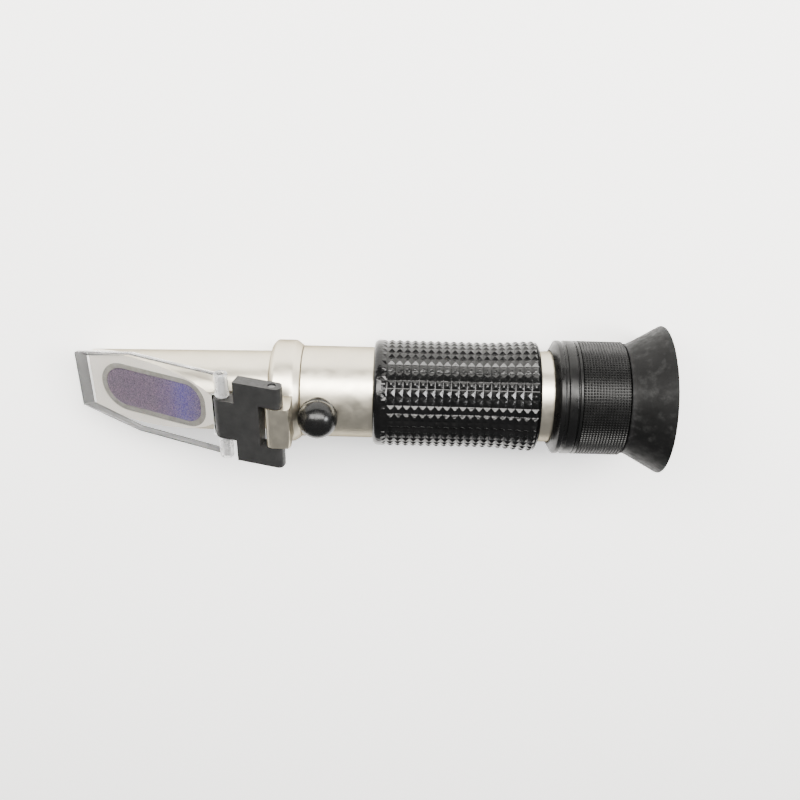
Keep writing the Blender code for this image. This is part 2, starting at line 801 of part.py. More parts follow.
def make_focus_ring():
    band = RING_R - RING_BAND
    turned(
        "focus_ring",
        [
            (RING_END, RING_BOSS_R),
            (SLEEVE[1], RING_BOSS_R),
            (SLEEVE[1], RING_SEAT_R),
            (RING_SHOULDER, RING_SEAT_R),
            (RING_SHOULDER, RING_R),
            (RING_SHOULDER - 0.6, RING_R),
            (RING_SHOULDER - 0.8, band),
            (RING_SHOULDER - 1.0, RING_R),
            (RING_FRONT + 3.2, RING_R),
            (RING_FRONT + 3.0, band),
            (RING_FRONT + 2.6, band),
            (RING_FRONT + 2.4, RING_R),
            (RING_FRONT + 1.5, RING_R),
            (RING_FRONT, RING_BORE_R + 0.4),
            (RING_FRONT, RING_BORE_R),
            (RING_STEP, RING_BORE_R),
            (RING_STEP, TUBE_BORE_R),
            (RING_REAR, TUBE_BORE_R),
            (RING_REAR, RING_MOUTH_R),
            (RING_END, RING_MOUTH_R),
        ],
        "black_plastic",
    )
    turned("focus_sleeve", ring(*SLEEVE, RING_R, RING_SEAT_R + GAP), "black_rubber")


def make_eyecup():
    turned(
        "eyecup",
        [
            (EYECUP_RIM, EYECUP_R - 0.3),
            (EYECUP_RIM - 0.3, EYECUP_R),
            (EYECUP_RIM - 0.9, EYECUP_R - 0.1),
            (EYECUP_NECK + 0.8, EYECUP_NECK_R + 0.3),
            (EYECUP_NECK, EYECUP_NECK_R),
            (EYECUP_FRONT, EYECUP_NECK_R + 0.2),
            (EYECUP_FRONT, EYECUP_BORE_R),
            (RING_END + 0.4, EYECUP_BORE_R),
            (EYECUP_RIM, EYECUP_MOUTH_R),
        ],
        "black_rubber",
    )


def shade_round_pieces():
    for obj in PIECES.objects:
        if obj.type == "MESH":
            obj.data.shade_smooth()
            obj.data.set_sharp_from_angle(angle=math.radians(35.0))


clear_scene()
PIECES = new_collection("refractometer")
CUTTERS = new_collection("cutters")
make_prism_housing()
make_prism()
make_hinge_collar()
make_cover_link()
make_daylight_plate()
make_body_tube()
make_rubber_grip()
make_calibration_port()
make_lens_carriage()
make_carriage_spring()
make_bimetal_strip()
make_reticle()
make_ocular()
make_focus_ring()
make_eyecup()
shade_round_pieces()
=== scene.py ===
"""The looks of the handheld optical refractometer.

Sizes here are millimetres in the row frame, and MM turns them into metres. A "station" is an X position
along the optical axis. A "height" is a Z distance above that axis. Whole-piece sizes come from the frame.
"""

import json
import math

import bmesh
import bpy
from mathutils import Matrix, Vector


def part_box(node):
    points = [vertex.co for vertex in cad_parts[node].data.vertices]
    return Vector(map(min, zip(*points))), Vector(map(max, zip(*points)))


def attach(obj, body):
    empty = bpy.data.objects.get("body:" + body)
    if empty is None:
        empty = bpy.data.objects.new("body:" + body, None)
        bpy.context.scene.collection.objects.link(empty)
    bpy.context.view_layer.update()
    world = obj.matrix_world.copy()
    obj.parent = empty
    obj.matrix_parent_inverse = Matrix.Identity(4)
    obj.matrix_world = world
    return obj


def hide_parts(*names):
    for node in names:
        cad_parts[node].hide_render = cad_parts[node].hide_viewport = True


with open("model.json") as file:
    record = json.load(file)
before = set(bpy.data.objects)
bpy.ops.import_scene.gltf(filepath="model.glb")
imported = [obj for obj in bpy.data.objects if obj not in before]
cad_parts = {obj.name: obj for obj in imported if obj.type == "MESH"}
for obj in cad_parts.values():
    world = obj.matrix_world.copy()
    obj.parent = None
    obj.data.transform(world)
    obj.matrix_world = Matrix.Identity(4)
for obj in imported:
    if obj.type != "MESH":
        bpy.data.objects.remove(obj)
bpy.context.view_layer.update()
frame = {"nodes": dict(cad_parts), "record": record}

MM = 0.001
SEGMENTS = 160
SMALL_SEGMENTS = 64

# Geometry that the frame's boxes don't hold: the sample face, and the hinge pins as (station, height)
SLOPE = math.radians(21.8)
SLOPE_STATION = -61.05
SLOPE_HEIGHT = 0.83
REAR_PIN = (-23.0, 17.4)
FRONT_PIN = (-36.5, 13.2)
LINK_TILT = math.atan2(3.3, 11.8)
PIN_R = 1.0
PIN_HOLE_R = 1.05
THROUGH = 20.0  # half the length of a cutter that passes through every piece


def low(node, axis):
    """A node's lowest coordinate along an axis (0, 1 or 2), in millimetres."""
    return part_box(node)[0][axis] / MM


def high(node, axis):
    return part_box(node)[1][axis] / MM


def radius(node):
    """Half a turned node's width."""
    return (high(node, 1) - low(node, 1)) / 2


AXIS = radius("eyecup")  # the optical axis stands this high above the row frame's origin
TUBE_R = radius("body_tube")
PORT = (low("calibration_cap", 0) + high("calibration_cap", 0)) / 2


# ---------------------------------------------------------------- shapes


def new_object(name, mesh):
    obj = bpy.data.objects.new(name, mesh)
    bpy.context.scene.collection.objects.link(obj)
    return obj


def finished_mesh(name, shape, sharp=32.0):
    """A mesh from a bmesh, with its faces pointing out, smooth but for its sharp edges."""
    bmesh.ops.recalc_face_normals(shape, faces=shape.faces)
    mesh = bpy.data.meshes.new(name)
    shape.to_mesh(mesh)
    shape.free()
    mesh.shade_smooth()
    mesh.set_sharp_from_angle(angle=math.radians(sharp))
    return mesh


def rounded(outline, size, steps=4):
    """The outline with each corner off the axis rounded by up to the given radius."""
    done = []
    count = len(outline)
    for i, corner in enumerate(outline):
        here = Vector(corner)
        before, after = Vector(outline[i - 1]), Vector(outline[(i + 1) % count])
        central = corner[1] <= 0.0
        if central or (before - here).length < 1e-6 or (after - here).length < 1e-6:
            done.append(corner)
            continue
        cut = min(size, 0.45 * (before - here).length, 0.45 * (after - here).length)
        start = here + (before - here).normalized() * cut
        end = here + (after - here).normalized() * cut
        for k in range(steps + 1):
            t = k / steps
            point = start * (1 - t) ** 2 + here * 2 * t * (1 - t) + end * t**2
            done.append((point.x, point.y))
    return done


def lathe(name, outline, segments=SEGMENTS, upright=False):
    """A closed turned shape from (station, radius) points. An upright one stands on the calibration port,
    and its stations are heights."""
    shape = bmesh.new()
    rings = []
    for along, out in outline:
        count = segments if out > 0.0 else 1
        places = [on_axis(along, max(0.0, out), k / count, upright) for k in range(count)]
        rings.append([shape.verts.new(place) for place in places])
    solid = outline[0][1] <= 0.0
    pairs = zip(rings, rings[1:]) if solid else zip(rings, rings[1:] + rings[:1])
    for first, second in pairs:
        bridge(shape, first, second, segments)
    return new_object(name, finished_mesh(name, shape))


def on_axis(along, out, turn, upright):
    """The place of a turned point: turn 0 is straight up, or towards the eyepiece on an upright piece."""
    across = out * math.sin(2 * math.pi * turn) * MM
    forward = out * math.cos(2 * math.pi * turn) * MM
    if upright:
        return PORT * MM + forward, across, (AXIS + along) * MM
    return along * MM, across, AXIS * MM + forward


def bridge(shape, first, second, segments):
    """The faces between two rings of a turned shape, where a ring of one point lies on the axis."""
    if len(first) == 1 and len(second) == 1:
        return
    for k in range(segments):
        after = (k + 1) % segments
        if len(first) == 1:
            shape.faces.new((first[0], second[after], second[k]))
        elif len(second) == 1:
            shape.faces.new((first[k], first[after], second[0]))
        else:
            shape.faces.new((first[k], first[after], second[after], second[k]))


def slab(name, outline, floor, top):
    """A flat outline of (x, y) points, between two levels of the object's own Z."""
    shape = bmesh.new()
    face = shape.faces.new([shape.verts.new((x * MM, y * MM, floor * MM)) for x, y in outline])
    lifted = bmesh.ops.extrude_face_region(shape, geom=[face])
    moved = [v for v in lifted["geom"] if isinstance(v, bmesh.types.BMVert)]
    bmesh.ops.translate(shape, vec=(0.0, 0.0, (top - floor) * MM), verts=moved)
    return new_object(name, finished_mesh(name, shape))


def cross_pin(name, pin, size, half, y=0.0, bevelled=0.0):
    """A cylinder across the instrument, through a hinge pin's (station, height)."""
    shape = bmesh.new()
    bmesh.ops.create_cone(
        shape, cap_ends=True, segments=48, radius1=size * MM, radius2=size * MM, depth=2 * half * MM
    )
    if bevelled:
        rims = [e for e in shape.edges if len({round(v.co.z, 6) for v in e.verts}) == 1]
        bmesh.ops.bevel(
            shape, geom=rims, offset=bevelled * MM, segments=3, profile=0.5, affect="EDGES"
        )
    turn = Matrix.Rotation(math.pi / 2, 4, "X")
    centre = Matrix.Translation((pin[0] * MM, y * MM, (AXIS + pin[1]) * MM))
    bmesh.ops.transform(shape, matrix=centre @ turn, verts=shape.verts)
    return new_object(name, finished_mesh(name, shape))


def arc(centre, size, start, end, steps):
    """Points of an arc, with its start and end in degrees."""
    angles = [math.radians(start + (end - start) * i / steps) for i in range(steps + 1)]
    return [(centre[0] + size * math.cos(a), centre[1] + size * math.sin(a)) for a in angles]


def settle(obj):
    """Writes an object's place and modifiers into its mesh."""
    bpy.context.view_layer.update()
    graph = bpy.context.evaluated_depsgraph_get()
    mesh = bpy.data.meshes.new_from_object(obj.evaluated_get(graph))
    mesh.transform(obj.matrix_world)
    obj.modifiers.clear()
    obj.matrix_world = Matrix.Identity(4)
    obj.data = mesh
    return obj


def combine(obj, other, operation="DIFFERENCE"):
    """A boolean that is applied at once and uses the other object up."""
    modifier = obj.modifiers.new("shape", "BOOLEAN")
    modifier.operation = operation
    modifier.object = other
    settle(obj)
    bpy.data.objects.remove(other)


def soften(obj, width, segments=3, angle=35.0):
    """Rounds an object's sharp edges."""
    modifier = obj.modifiers.new("edges", "BEVEL")
    modifier.width = width * MM
    modifier.segments = segments
    modifier.limit_method = "ANGLE"
    modifier.angle_limit = math.radians(angle)
    settle(obj)
    shade(obj)


def shade(obj):
    """Smooth shading that leaves the large flat faces flat."""
    obj.data.shade_smooth()
    obj.data.set_sharp_from_angle(angle=math.radians(40.0))
    modifier = obj.modifiers.new("normals", "WEIGHTED_NORMAL")
    modifier.keep_sharp = True
    settle(obj)


def lay_on_slope(obj):
    """Puts an object drawn about its own origin on the sloped sample face."""
    centre = Matrix.Translation((SLOPE_STATION * MM, 0.0, (AXIS + SLOPE_HEIGHT) * MM))
    obj.matrix_world = centre @ Matrix.Rotation(-SLOPE, 4, "Y")
    return settle(obj)


def along_slope(station):
    """How far down the slope a station lies from the slope's origin."""
    return (station - SLOPE_STATION) / math.cos(SLOPE)


def stand_on_edge(obj, tilt):
    """Stands a side-view outline, drawn forward and up from the rear pin, in the upright plane."""
    upright = Matrix(((-1, 0, 0, 0), (0, 0, 1, 0), (0, 1, 0, 0), (0, 0, 0, 1)))
    centre = Matrix.Translation((REAR_PIN[0] * MM, 0.0, (AXIS + REAR_PIN[1]) * MM))
    obj.matrix_world = centre @ Matrix.Rotation(-tilt, 4, "Y") @ upright
    return settle(obj)


# ---------------------------------------------------------------- materials


class Finish:
    """A procedural material: a Principled shader and the textures that feed it."""

    def __init__(self, name, colour, roughness, metallic=0.0, **sockets):
        self.material = bpy.data.materials.new(name)
        self.material.use_nodes = True
        self.nodes = self.material.node_tree.nodes
        self.links = self.material.node_tree.links
        self.shader = self.nodes["Principled BSDF"]
        self.place = self.nodes.new("ShaderNodeTexCoord").outputs["Object"]
        self.height = None
        self.set("Base Color", (*colour, 1.0))
        self.set("Roughness", roughness)
        self.set("Metallic", metallic)
        for socket, value in sockets.items():
            self.set(socket.replace("_", " "), value)

    def set(self, socket, value):
        self.shader.inputs[socket].default_value = value

    def noise(self, size, detail, stretch=(1.0, 1.0, 1.0)):
        """Noise whose features are about the given size in millimetres."""
        mapping = self.nodes.new("ShaderNodeMapping")
        mapping.inputs["Scale"].default_value = stretch
        self.links.new(self.place, mapping.inputs["Vector"])
        noise = self.nodes.new("ShaderNodeTexNoise")
        noise.inputs["Scale"].default_value = 1.0 / (size * MM)
        noise.inputs["Detail"].default_value = detail
        self.links.new(mapping.outputs["Vector"], noise.inputs["Vector"])
        return noise.outputs["Fac"]

    def ramp(self, source, stops):
        """A colour ramp through (place, colour) stops; a single number stands for a grey."""
        node = self.nodes.new("ShaderNodeValToRGB")
        elements = node.color_ramp.elements
        for i, (at, colour) in enumerate(stops):
            element = elements[i] if i < 2 else elements.new(at)
            element.position = at
            grey = not hasattr(colour, "__len__")
            element.color = (colour, colour, colour, 1.0) if grey else (*colour, 1.0)
        self.links.new(source, node.inputs["Fac"])
        return node.outputs["Color"]

    def feed(self, socket, source):
        self.links.new(source, self.shader.inputs[socket])

    def vary(self, socket, size, detail, stops):
        """Lets noise run a socket through the stops of a ramp."""
        self.feed(socket, self.ramp(self.noise(size, detail), stops))

    def mix(self, amount, first, second):
        node = self.nodes.new("ShaderNodeMix")
        node.data_type = "RGBA"
        self.links.new(amount, node.inputs["Factor"])
        self.links.new(first, node.inputs["A"])
        self.links.new(second, node.inputs["B"])
        return node.outputs["Result"]

    def bump(self, source, depth, strength):
        """Adds relief of a depth in millimetres on top of any relief already there."""
        bump = self.nodes.new("ShaderNodeBump")
        bump.inputs["Strength"].default_value = strength
        bump.inputs["Distance"].default_value = depth * MM
        self.links.new(source, bump.inputs["Height"])
        if self.height:
            self.links.new(self.height, bump.inputs["Normal"])
        self.height = bump.outputs["Normal"]
        self.feed("Normal", self.height)


def satin_aluminium():
    """Bead-blasted and anodised: a fine even grain with faint turning marks and cloudy patches."""
    finish = Finish("satin_aluminium", (0.56, 0.51, 0.44), 0.34, 1.0)
    finish.set("Specular Tint", (0.16, 0.15, 0.14, 1.0))
    finish.vary("Base Color", 9.0, 2.0, [(0.25, (0.56, 0.515, 0.415)), (0.75, (0.61, 0.565, 0.465))])
    finish.vary("Roughness", 2.5, 4.0, [(0.3, 0.30), (0.7, 0.42)])
    finish.bump(finish.noise(0.12, 2.0), 0.010, 0.35)
    finish.bump(finish.noise(0.30, 2.0, (6.0, 0.4, 0.4)), 0.008, 0.3)
    return finish.material


def sample_face_painted_reflection():
    """The sample face round the prism: pale cream painted near white, a painted reflection that stands in
    for the warm light its aluminium reflects.
    """
    finish = Finish("sample_face_painted_reflection", (0.95, 0.90, 0.81), 0.42)
    finish.vary("Base Color", 6.0, 3.0, [(0.3, (0.93, 0.87, 0.78)), (0.7, (0.97, 0.92, 0.84))])
    finish.bump(finish.noise(0.10, 2.0), 0.006, 0.4)
    return finish.material


def grip_rubber():
    """Glossy moulded rubber with a finger-worn bloom."""
    finish = Finish("grip_rubber", (0.002, 0.002, 0.002), 0.16, Specular_IOR_Level=0.28)
    finish.vary("Base Color", 5.0, 4.0, [(0.35, 0.001), (0.75, 0.003)])
    finish.vary("Roughness", 1.2, 5.0, [(0.3, 0.10), (0.75, 0.26)])
    finish.bump(finish.noise(0.9, 2.0), 0.10, 0.8)
    finish.bump(finish.noise(0.30, 3.0), 0.03, 0.3)
    return finish.material


def cap_rubber():
    finish = Finish("cap_rubber", (0.003, 0.003, 0.003), 0.25, Specular_IOR_Level=0.25)
    finish.vary("Roughness", 1.6, 4.0, [(0.3, 0.18), (0.7, 0.34)])
    finish.bump(finish.noise(0.25, 3.0), 0.012, 0.3)
    return finish.material


def ring_plastic():
    finish = Finish("ring_plastic", (0.002, 0.002, 0.002), 0.3, Specular_IOR_Level=0.2)
    finish.vary("Roughness", 2.0, 4.0, [(0.3, 0.22), (0.7, 0.40)])
    finish.bump(finish.noise(0.2, 2.0), 0.006, 0.4)
    return finish.material


def sleeve_rubber():
    finish = Finish("sleeve_rubber", (0.002, 0.002, 0.002), 0.36, Specular_IOR_Level=0.2)
    finish.vary("Base Color", 3.0, 4.0, [(0.35, 0.0015), (0.8, 0.004)])
    finish.bump(finish.noise(0.2, 2.0), 0.01, 0.3)
    return finish.material


def eyecup_rubber():
    """Soft black rubber with dust and rubbed grey smudges."""
    finish = Finish("eyecup_rubber", (0.003, 0.003, 0.003), 0.5, Specular_IOR_Level=0.1)
    dust = finish.ramp(finish.noise(2.2, 6.0), [(0.50, 0.0), (0.78, 1.0)])
    clean = finish.ramp(finish.noise(7.0, 3.0), [(0.3, 0.002), (0.7, 0.0045)])
    grey = finish.ramp(finish.noise(0.6, 4.0), [(0.3, 0.007), (0.7, 0.018)])
    finish.feed("Base Color", finish.mix(dust, clean, grey))
    finish.vary("Roughness", 1.5, 5.0, [(0.3, 0.38), (0.7, 0.62)])
    finish.bump(finish.noise(0.5, 4.0), 0.02, 0.35)
    return finish.material


def link_plastic():
    """Matte moulded black with a spark-eroded grain."""
    finish = Finish("link_plastic", (0.010, 0.010, 0.010), 0.5, Specular_IOR_Level=0.3)
    finish.vary("Base Color", 3.0, 4.0, [(0.3, 0.009), (0.7, 0.015)])
    finish.vary("Roughness", 0.8, 4.0, [(0.3, 0.42), (0.7, 0.58)])
    finish.bump(finish.noise(0.12, 2.0), 0.012, 0.5)
    return finish.material


def clear_acrylic():
    """Polished acrylic with faint handling haze."""
    finish = Finish("clear_acrylic", (1.0, 1.0, 1.0), 0.02, IOR=1.49, Transmission_Weight=1.0)
    finish.vary("Roughness", 4.0, 5.0, [(0.45, 0.008), (0.80, 0.06)])
    return finish.material


def hazy_acrylic():
    """The plate's moulded barrels: the same acrylic, with a less polished skin."""
    finish = Finish("hazy_acrylic", (1.0, 1.0, 1.0), 0.3, IOR=1.4, Transmission_Weight=0.85)
    finish.vary("Roughness", 1.5, 4.0, [(0.3, 0.18), (0.7, 0.45)])
    finish.bump(finish.noise(0.8, 3.0), 0.03, 0.5)
    return finish.material


def frosted_edge_with_painted_shade():
    """The plate's saw-cut edges: partly clear acrylic with a ground surface, painted a dark grey that is
    painted shade, darker than ground acrylic's own pale grey.
    """
    finish = Finish("frosted_edge_with_painted_shade", (0.11, 0.11, 0.11), 0.45, IOR=1.49, Transmission_Weight=0.3)
    finish.vary("Roughness", 0.6, 4.0, [(0.3, 0.35), (0.7, 0.55)])
    finish.bump(finish.noise(0.25, 3.0), 0.01, 0.4)
    return finish.material


VIOLET_REACH = (-72.0, -42.0)  # the stations between which the prism's violet changes


def prism_glass():
    """The finely ground, violet top of the prism: bluest near the hinge, with a fine sparkle."""
    finish = Finish("prism_glass", (0.10, 0.07, 0.13), 0.38, IOR=1.6)
    split = finish.nodes.new("ShaderNodeSeparateXYZ")
    finish.links.new(finish.place, split.inputs["Vector"])
    reach = finish.nodes.new("ShaderNodeMapRange")
    reach.inputs["From Min"].default_value = VIOLET_REACH[0] * MM
    reach.inputs["From Max"].default_value = VIOLET_REACH[1] * MM
    finish.links.new(split.outputs["X"], reach.inputs["Value"])
    violet = finish.ramp(
        reach.outputs["Result"],
        [
            (0.0, (0.105, 0.075, 0.115)),
            (0.52, (0.095, 0.062, 0.120)),
            (0.68, (0.080, 0.050, 0.170)),
            (0.80, (0.055, 0.045, 0.330)),
            (1.0, (0.080, 0.055, 0.140)),
        ],
    )
    speck = finish.ramp(
        finish.noise(0.30, 2.0), [(0.42, (0.030, 0.020, 0.040)), (0.60, (0.33, 0.24, 0.30))]
    )
    amount = finish.ramp(finish.noise(0.5, 4.0), [(0.35, 0.30), (0.70, 0.75)])
    finish.feed("Base Color", finish.mix(amount, violet, speck))
    finish.vary("Roughness", 0.4, 4.0, [(0.3, 0.25), (0.7, 0.5)])
    finish.bump(finish.noise(0.16, 3.0), 0.02, 0.5)
    return finish.material


def grey_seal():
    finish = Finish("grey_seal", (0.25, 0.24, 0.21), 0.42, IOR=1.5)
    finish.vary("Base Color", 1.5, 4.0, [(0.3, (0.20, 0.19, 0.165)), (0.7, (0.30, 0.285, 0.255))])
    finish.bump(finish.noise(0.6, 3.0), 0.03, 0.4)
    return finish.material


def pin_steel():
    finish = Finish("pin_steel", (0.13, 0.13, 0.13), 0.4, 1.0)
    finish.vary("Roughness", 0.6, 3.0, [(0.3, 0.34), (0.7, 0.48)])
    finish.bump(finish.noise(0.3, 2.0, (1.0, 0.2, 1.0)), 0.002, 0.3)
    return finish.material


def turned_brass():
    finish = Finish("turned_brass", (0.72, 0.52, 0.24), 0.3, 1.0)
    finish.vary("Base Color", 2.0, 3.0, [(0.3, (0.68, 0.48, 0.21)), (0.7, (0.78, 0.58, 0.29))])
    finish.bump(finish.noise(0.15, 2.0, (6.0, 0.5, 0.5)), 0.008, 0.4)
    return finish.material


def matte_black():
    finish = Finish("matte_black", (0.012, 0.012, 0.012), 0.8)
    finish.vary("Roughness", 0.8, 3.0, [(0.3, 0.7), (0.7, 0.9)])
    finish.bump(finish.noise(0.15, 2.0), 0.01, 0.4)
    return finish.material


def lens_glass():
    """Coated optical glass with a faint green-blue tint."""
    finish = Finish("lens_glass", (0.90, 0.97, 0.96), 0.01, IOR=1.52, Transmission_Weight=1.0)
    finish.vary("Roughness", 3.0, 3.0, [(0.5, 0.004), (0.8, 0.03)])
    return finish.material


FINISHES = {
    "satin_aluminium": satin_aluminium(),
    "black_plastic": link_plastic(),
    "black_rubber": grip_rubber(),
    "clear_acrylic": clear_acrylic(),
    "prism_glass": prism_glass(),
    "lens_glass": lens_glass(),
    "grey_seal": grey_seal(),
    "pin_steel": pin_steel(),
    "turned_brass": turned_brass(),
    "matte_black": matte_black(),
}
SAMPLE_FACE_PAINTED_REFLECTION = sample_face_painted_reflection()
HAZY_ACRYLIC = hazy_acrylic()
FROSTED_EDGE_WITH_PAINTED_SHADE = frosted_edge_with_painted_shade()
CAP_RUBBER = cap_rubber()
RING_PLASTIC = ring_plastic()
SLEEVE_RUBBER = sleeve_rubber()
EYECUP_RUBBER = eyecup_rubber()

NODE_BODY = {n: body for body, nodes in frame["record"]["behaviour"]["bodies"].items() for n in nodes}
NODE_SLOT = {part["node"]: part["material_slot"] for part in frame["record"]["subparts"]}


def stand_for(obj, node, material=None):
    """Makes a finished object take a CAD node's place, on its body and in its material slot."""
    obj.data.materials.clear()
    obj.data.materials.append(material or FINISHES[NODE_SLOT[node]])
    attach(obj, NODE_BODY[node])
    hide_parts(node)


# ---------------------------------------------------------------- housing, prism and collar

WINDOW_FRONT = -71.7
WINDOW_REAR = -41.4
WINDOW_HALF = 7.25
WINDOW_CORNER = 6.1
SEAL_WIDTH = 1.5
SEAL_DEPTH = 1.4
PRISM_FLOOR = -6.3
PRISM_REAR = -40.4
NOSE_BORE_FRONT = -44.0
NOSE_BORE_R = 7.5
SPIGOT_R = 10.0  # the housing's rear end, which fits inside the collar
SLOPE_NORMAL = Vector((-math.sin(SLOPE), 0.0, math.cos(SLOPE)))


def window_outline(inset):
    """The sample window's outline on the slope, one end round and the other with round corners."""
    half = WINDOW_HALF - inset
    front = along_slope(WINDOW_FRONT) + WINDOW_HALF
    rear = along_slope(WINDOW_REAR) - inset
    corner = WINDOW_CORNER - inset
    flat = half - corner
    outline = arc((front, 0.0), half, 90.0, 270.0, 24)
    outline += arc((rear - corner, -flat), corner, 270.0, 360.0, 12)
    outline += arc((rear - corner, flat), corner, 0.0, 90.0, 12)
    return outline


def make_prism_housing():
    tip, end = low("prism_housing", 0), high("prism_housing", 0)
    root = low("hinge_collar", 0) - 0.2
    size = radius("prism_housing")
    outline = [(NOSE_BORE_FRONT, 0.0), (NOSE_BORE_FRONT, NOSE_BORE_R), (end, NOSE_BORE_R)]
    outline += [(end, SPIGOT_R), (root, SPIGOT_R), (root, size), (tip, size - 0.7), (tip, 0.0)]
    housing = lathe("housing_shell", rounded(outline, 0.8, 6))
    above = slab("above", [(-60.0, -15.0), (60.0, -15.0), (60.0, 15.0), (-60.0, 15.0)], 0.0, 30.0)
    combine(housing, lay_on_slope(above))
    pocket = slab("pocket", window_outline(-0.05), -SEAL_DEPTH, 1.0)
    combine(housing, lay_on_slope(pocket))
    combine(housing, window_column(0.0, 1.0, PRISM_FLOOR - 0.2, PRISM_REAR + 2.4))
    soften(housing, 0.16, 2)
    stand_for(housing, "prism_housing")
    # The sloped face takes the near-white cream of the painted reflection.
    housing.data.materials.append(SAMPLE_FACE_PAINTED_REFLECTION)
    for face in housing.data.polygons:
        face.material_index = 1 if face.normal.dot(SLOPE_NORMAL) > 0.999 else 0


def window_column(shrink, top, floor, rear):
    """The window inside its seal, run from a level above the slope down to a level floor."""
    column = slab("column", window_outline(SEAL_WIDTH + shrink), -14.0, top)
    lay_on_slope(column)
    outline = [(-78.0, -9.0), (rear, -9.0), (rear, 9.0), (-78.0, 9.0)]
    combine(column, settle(slab("room", outline, AXIS + floor, AXIS + 40.0)), "INTERSECT")
    return column


def make_prism_and_seal():
    prism = window_column(0.05, 0.0, PRISM_FLOOR, PRISM_REAR)
    soften(prism, 0.12, 2)
    stand_for(prism, "prism")
    seal = slab("seal_ring", window_outline(0.0), 0.2 - SEAL_DEPTH, 0.0)
    lay_on_slope(seal)
    hole = slab("hole", window_outline(SEAL_WIDTH), -3.0, 2.0)
    combine(seal, lay_on_slope(hole))
    soften(seal, 0.22, 3)
    stand_for(seal, "prism_seal")


COLLAR_LAND = (-24.0, -19.0)  # the stations between which the collar has its full size
COLLAR_BORE_R = 10.3
COLLAR_STEP = (-18.6, 9.6)  # the (station, radius) where the bore narrows in front of the tube
TUBE_SEAT = (-17.0, 10.7)  # the (station, radius) of the collar's recess for the tube
LUG_FRONT = 6.0  # how far the lug reaches in front of the rear pin
LUG_TOP = 19.5
LUG_HALF = 5.8
LUG_EYE_R = 2.1


def make_hinge_collar():
    front, end = low("hinge_collar", 0), high("hinge_collar", 0)
    size = radius("hinge_collar")
    step, step_r = COLLAR_STEP
    seat, seat_r = TUBE_SEAT
    land_front, land_end = COLLAR_LAND
    outline = [(end, step_r), (end, seat_r), TUBE_SEAT, (seat, TUBE_R), (land_end, size)]
    outline += [(land_front, size), (front, size - 1.4), (front, COLLAR_BORE_R)]
    outline += [(step, COLLAR_BORE_R), COLLAR_STEP]
    collar = lathe("collar_with_lug", rounded(outline, 0.5))
    foot = size - 1.5 - REAR_PIN[1]
    top = LUG_TOP - REAR_PIN[1]
    side_view = [(1.1, foot), (-LUG_FRONT, foot), (-LUG_FRONT, top), (0.0, top)]
    side_view += arc((0.0, 0.0), LUG_EYE_R, 85.0, -45.0, 24)
    lug = slab("lug", side_view, -LUG_HALF, LUG_HALF)
    stand_on_edge(lug, 0.0)
    flank = [(-27.0, 0.0), (-27.0, 20.7), (-19.6, 20.7), (-18.95, 19.7), (-18.7, 19.0), (-18.7, 0.0)]
    combine(lug, lathe("flank", flank), "INTERSECT")
    combine(collar, lug, "UNION")
    combine(collar, cross_pin("hole", REAR_PIN, PIN_HOLE_R, 9.0))
    soften(collar, 0.18, 3, 40.0)
    stand_for(collar, "hinge_collar")


# ---------------------------------------------------------------- cover


LINK_LEVELS = (1.83, -1.82)  # its top and underside at the rear pin
LINK_NOTCH = 10.0  # where the plate's barrels stand beside the link's narrow front end
LINK_NECK_HALF = 5.7
LINK_SLOT = 3.3  # how far in front of the rear pin the slot for the lug reaches
LINK_SLOT_HALF = 6.1
LINK_TAIL_R = 1.4
LINK_NOSE_R = 2.3


def make_cover_link():
    half = (high("cover_link", 1) - low("cover_link", 1)) / 2
    top, floor = LINK_LEVELS
    span = Vector((REAR_PIN[0] - FRONT_PIN[0], REAR_PIN[1] - FRONT_PIN[1]))
    direction = Vector((math.cos(LINK_TILT), math.sin(LINK_TILT)))
    reach = span.dot(direction)
    rise = span.x * direction.y - span.y * direction.x
    outline = [(LINK_NOTCH, top)] + arc((reach, rise), LINK_NOSE_R, 90.0, -90.0, 20) + [(LINK_NOTCH, floor)]
    outline += arc((-1.1, floor + LINK_TAIL_R), LINK_TAIL_R, 270.0, 180.0, 8)
    outline += arc((-1.1, top - LINK_TAIL_R), LINK_TAIL_R, 180.0, 90.0, 8)
    link = slab("link", outline, -half, half)
    stand_on_edge(link, LINK_TILT)
    slot = [(-6.0, -6.0), (LINK_SLOT, -6.0), (LINK_SLOT, 6.0), (-6.0, 6.0)]
    slot = slab("slot", slot, -LINK_SLOT_HALF, LINK_SLOT_HALF)
    combine(link, stand_on_edge(slot, LINK_TILT))
    beyond = LINK_NOTCH + 12.0
    notch = [(LINK_NOTCH, -8.0), (beyond, -8.0), (beyond, 8.0), (LINK_NOTCH, 8.0)]
    for inner, outer in ((LINK_NECK_HALF, THROUGH), (-THROUGH, -LINK_NECK_HALF)):
        combine(link, stand_on_edge(slab("notch", notch, inner, outer), LINK_TILT))
    soften(link, 0.42, 4, 40.0)
    for pin in (REAR_PIN, FRONT_PIN):
        combine(link, cross_pin("hole", pin, PIN_HOLE_R, THROUGH))
    shade(link)
    stand_for(link, "cover_link")
    for node, pin in (("rear_hinge_pin", REAR_PIN), ("front_hinge_pin", FRONT_PIN)):
        half = (high(node, 1) - low(node, 1)) / 2
        stand_for(cross_pin(node + "_shaft", pin, PIN_R, half, bevelled=0.2), node)


PLATE_LEVELS = (0.2, 3.2)  # its underside and top above the slope
PLATE_TIP = -79.1  # the tip's station at the plate's top, and the bend's in its long sides
PLATE_BEND = -62.2
PLATE_HALF = 12.1
PLATE_TIP_HALF = 8.4
PLATE_TONGUE_HALF = 6.0
SLANT_LEVEL = 2.0  # below this level the tip and the long sides slant inwards
TIP_SLANT = 3.0
SIDE_SLANT = 0.9
BARREL_R = 1.8
BARREL_Y = 9.3
BARREL_HALF = 3.3
BARREL_REACH = 2.6  # faces nearer than this to the front pin belong to the barrels


